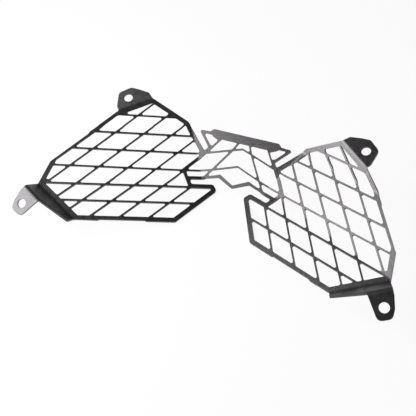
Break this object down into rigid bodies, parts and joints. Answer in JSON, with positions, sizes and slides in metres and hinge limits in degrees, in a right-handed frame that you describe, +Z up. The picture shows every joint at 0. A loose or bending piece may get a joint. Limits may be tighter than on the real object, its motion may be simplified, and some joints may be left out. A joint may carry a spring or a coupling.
{
  "type": "motorcycle headlight guard",
  "caption": "Folded steel sheet guard with two mesh wings joined by a narrow bridge, and bent tabs with holes, bolted in front of a twin headlight.",
  "frame": {"origin": "centre of the floor area under the guard as it lies at rest, outer side down", "axes": "+X across the guard, from one wing to the other; +Y towards the plate at the top of the bridge; +Z up"},
  "size_m": [0.3174, 0.1422, 0.0608],
  "materials": {
    "satin_black_coating": "satin black powder coating"
  },
  "bodies": {
    "root": {"headlight_guard": "satin_black_coating"}
  },
  "joints": []
}
